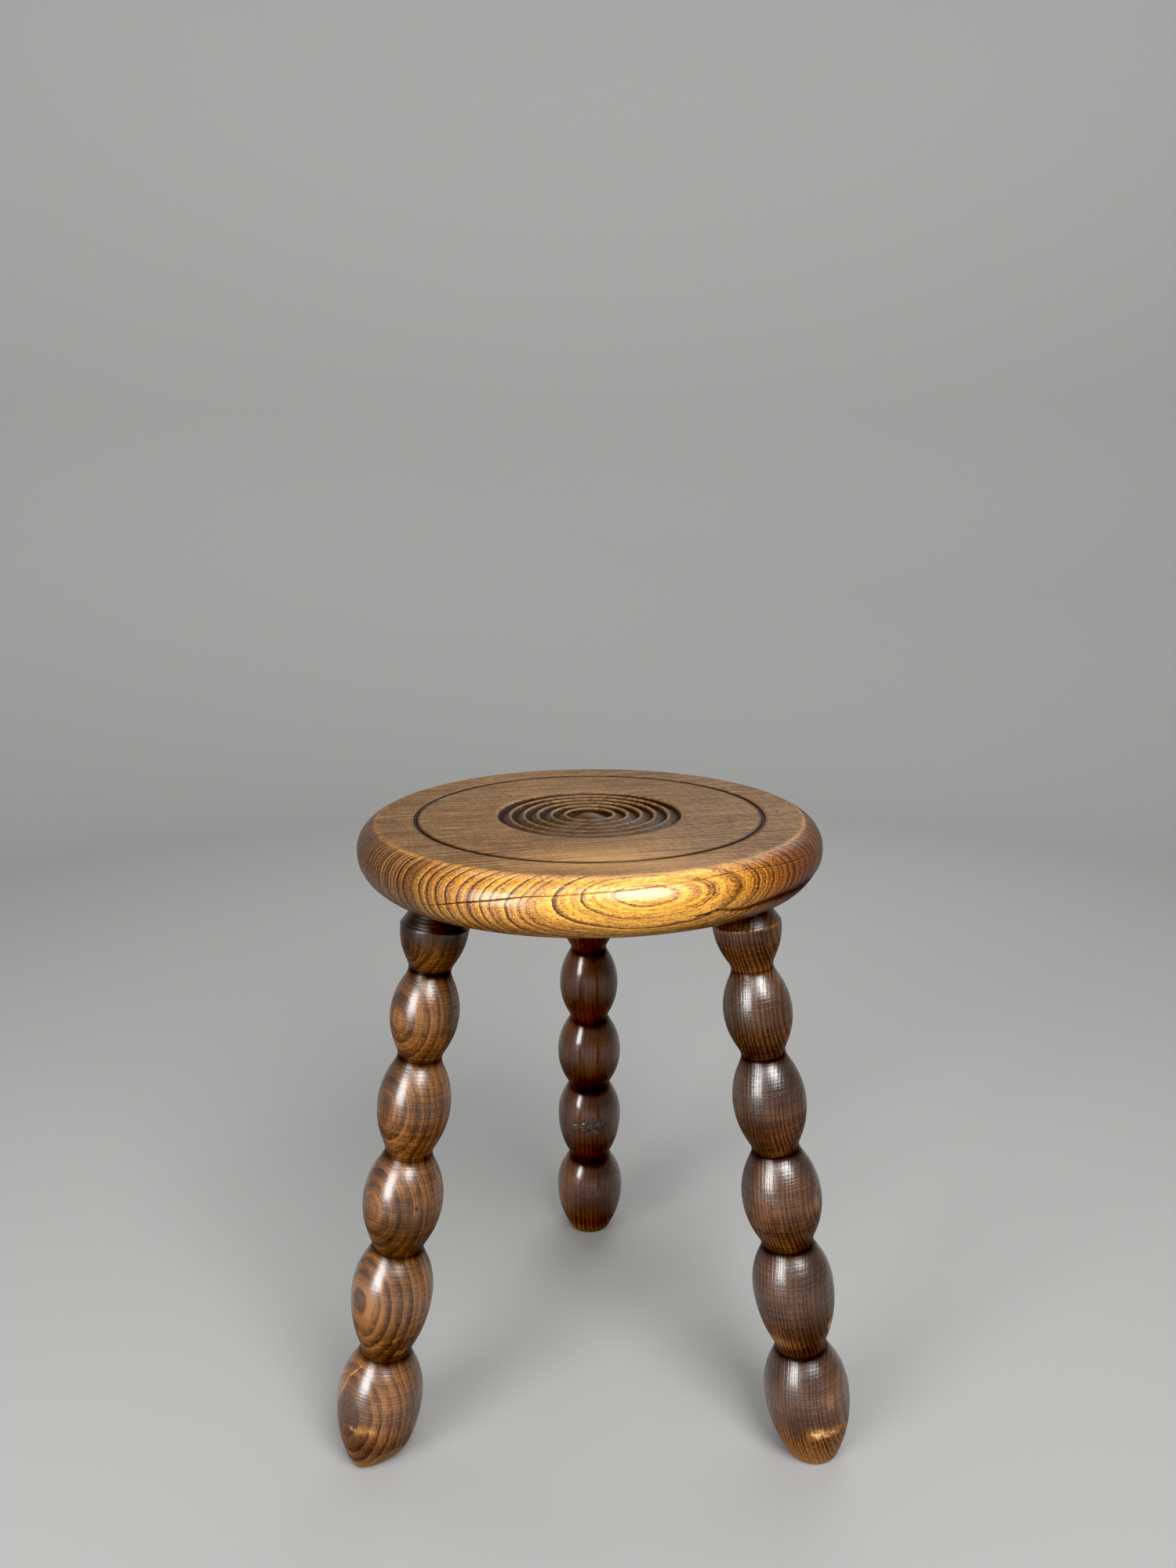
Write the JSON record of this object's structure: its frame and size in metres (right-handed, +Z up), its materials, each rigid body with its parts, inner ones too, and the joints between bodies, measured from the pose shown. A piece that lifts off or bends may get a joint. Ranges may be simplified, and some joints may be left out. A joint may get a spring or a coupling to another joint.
{
  "type": "bobbin stool",
  "caption": "Low round stool: a turned wooden seat with a bullnose rim, a ring groove and a carved rosette, on splayed bobbin-turned legs; to sit on or to stand a plant on.",
  "frame": {"origin": "floor level, at the centre of the bounding box; the seat's axis stands 19.6 mm toward -Y from it, because the rear foot reaches out further than the seat's front", "axes": "+Z up, +Y toward the rear leg, +X toward the right front leg as seen from the front"},
  "size_m": [0.335, 0.3392, 0.4123],
  "materials": {
    "seat_wood": "waxed, golden on the rim and duller on the worn top",
    "leg_wood": "dark satin varnish with worn feet and necks"
  },
  "bodies": {
    "root": {"seat": "seat_wood", "leg_rear": "leg_wood", "leg_left": "leg_wood", "leg_right": "leg_wood"}
  },
  "joints": []
}
